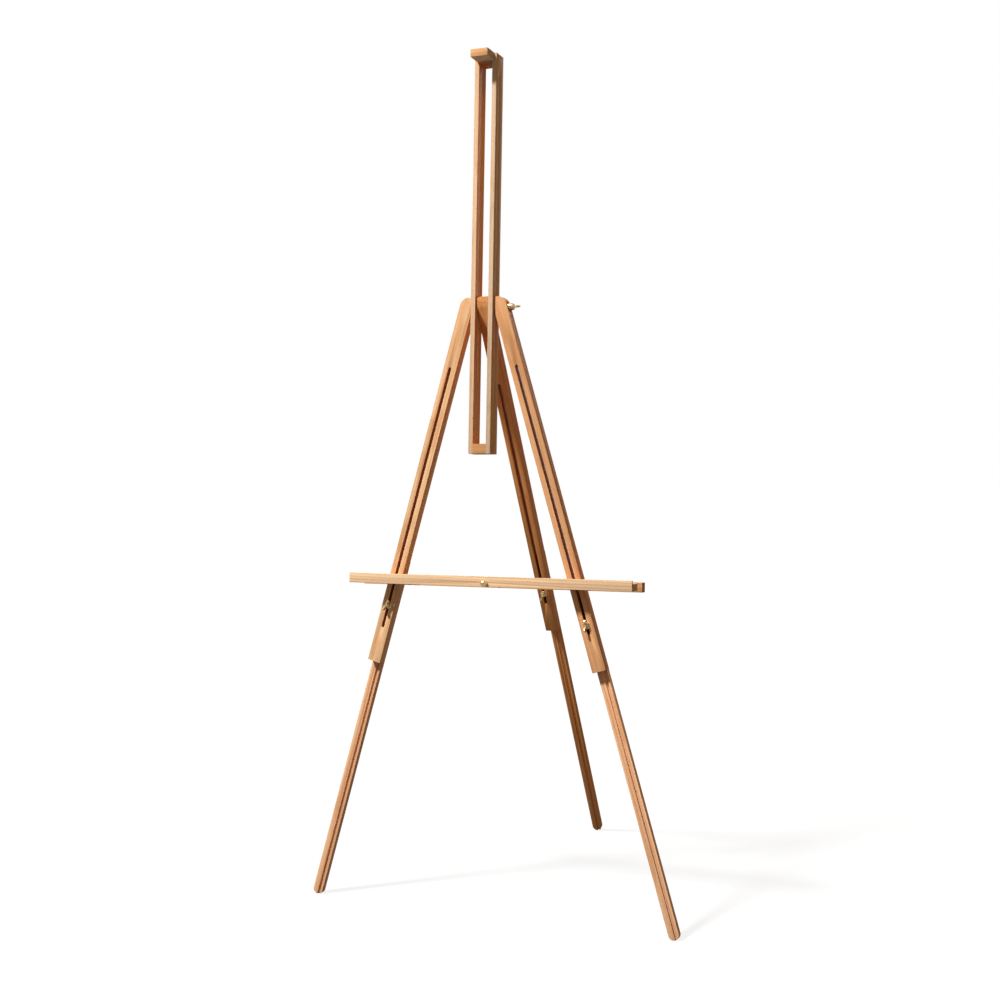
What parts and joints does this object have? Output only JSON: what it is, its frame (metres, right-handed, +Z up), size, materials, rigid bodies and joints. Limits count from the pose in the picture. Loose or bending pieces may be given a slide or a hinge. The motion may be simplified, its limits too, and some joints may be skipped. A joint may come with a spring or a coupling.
{
  "type": "artist easel",
  "caption": "Free-standing wooden artist's easel: sliding slotted mast with canvas hook, spread front legs, swinging rear leg, and a clamped tray, all on brass wing nuts.",
  "frame": {"origin": "on the floor, under the middle of the easel's bounding box", "axes": "+Z up, +Y away from the painter towards the rear leg, +X to the painter's right, with the cross bolt along X"},
  "size_m": [0.8928, 0.851, 1.9383],
  "materials": {
    "beech": "oiled beech, satin",
    "disc": "oiled beech, satin",
    "brass": "polished brass",
    "steel": "plated screws"
  },
  "bodies": {
    "head": {"cross_bolt": "brass", "head_washer": "brass"},
    "mast_pivot": {"left_spacer_disc": "disc", "right_spacer_disc": "disc"},
    "mast": {"left_mast_rail": "beech", "right_mast_rail": "beech", "mast_top_block": "beech", "mast_bottom_block": "beech", "mast_dowels": "beech", "canvas_hook": "beech", "hook_screws": "steel"},
    "front_left_leg": {"front_left_upper_leg": "beech"},
    "front_right_leg": {"front_right_upper_leg": "beech"},
    "rear_leg": {"rear_upper_leg": "beech"},
    "front_left_foot": {"front_left_lower_leg": "beech", "front_left_stud": "brass", "front_left_washer": "brass"},
    "front_right_foot": {"front_right_lower_leg": "beech", "front_right_stud": "brass", "front_right_washer": "brass"},
    "rear_foot": {"rear_lower_leg": "beech", "rear_stud": "brass", "rear_washer": "brass"},
    "tray": {"tray_ledge": "beech", "tray_clamp_rail": "beech", "tray_bolt": "brass"},
    "tray_nut": {"tray_knob": "brass"},
    "head_nut": {"head_wing_nut": "brass"},
    "front_left_nut": {"front_left_wing_nut": "brass"},
    "front_right_nut": {"front_right_wing_nut": "brass"},
    "rear_nut": {"rear_wing_nut": "brass"}
  },
  "joints": [
    {"name": "mast_tilt", "type": "hinge", "parent": "head", "child": "mast_pivot", "pos_m": [-0.0142, -0.34095, 1.365], "axis": [-1, 0, 0], "range_deg": [-20, 85]},
    {"name": "mast_slide", "type": "slide", "parent": "mast_pivot", "child": "mast", "axis": [0, 0.0558, 0.9984], "range_m": [-0.25, 0.24]},
    {"name": "left_leg_fold", "type": "hinge", "parent": "head", "child": "front_left_leg", "pos_m": [-0.0567, -0.34095, 1.365], "axis": [0, -0.9993, 0.0366], "range_deg": [0, 14]},
    {"name": "right_leg_fold", "type": "hinge", "parent": "head", "child": "front_right_leg", "pos_m": [0.0283, -0.34095, 1.365], "axis": [0, 0.9993, -0.0366], "range_deg": [0, 14]},
    {"name": "rear_leg_swing", "type": "hinge", "parent": "head", "child": "rear_leg", "pos_m": [-0.0142, -0.34095, 1.365], "axis": [-1, 0, 0], "range_deg": [-6, 21.5]},
    {"name": "left_leg_extend", "type": "slide", "parent": "front_left_leg", "child": "front_left_foot", "axis": [0.2689, 0.0353, 0.9625], "range_m": [-0.05, 0.031]},
    {"name": "right_leg_extend", "type": "slide", "parent": "front_right_leg", "child": "front_right_foot", "axis": [-0.2874, 0.0351, 0.9572], "range_m": [-0.017, 0.06]},
    {"name": "rear_leg_extend", "type": "slide", "parent": "rear_leg", "child": "rear_foot", "axis": [0, -0.4787, 0.878], "range_m": [-0.027, 0.57]},
    {"name": "tray_height", "type": "slide", "parent": "head", "child": "tray", "axis": [0, 0.0366, 0.9993], "range_m": [-0.034, 0.25]},
    {"name": "tray_knob_turn", "type": "hinge", "parent": "tray", "child": "tray_nut", "pos_m": [0.0138, -0.41439, 0.75126], "axis": [0, -0.9993, 0.0366], "continuous": true},
    {"name": "head_nut_turn", "type": "hinge", "parent": "head", "child": "head_nut", "pos_m": [0.04609, -0.34095, 1.365], "axis": [1, 0, 0], "continuous": true},
    {"name": "left_nut_turn", "type": "hinge", "parent": "front_left_foot", "child": "front_left_nut", "pos_m": [-0.24522, -0.37773, 0.69072], "axis": [0, -0.9993, 0.0366], "continuous": true},
    {"name": "right_nut_turn", "type": "hinge", "parent": "front_right_foot", "child": "front_right_nut", "pos_m": [0.23922, -0.37875, 0.66287], "axis": [0, -0.9993, 0.0366], "continuous": true},
    {"name": "rear_nut_turn", "type": "hinge", "parent": "rear_foot", "child": "rear_nut", "pos_m": [-0.0142, 0.01323, 0.69021], "axis": [0, -0.878, -0.4787], "continuous": true}
  ]
}
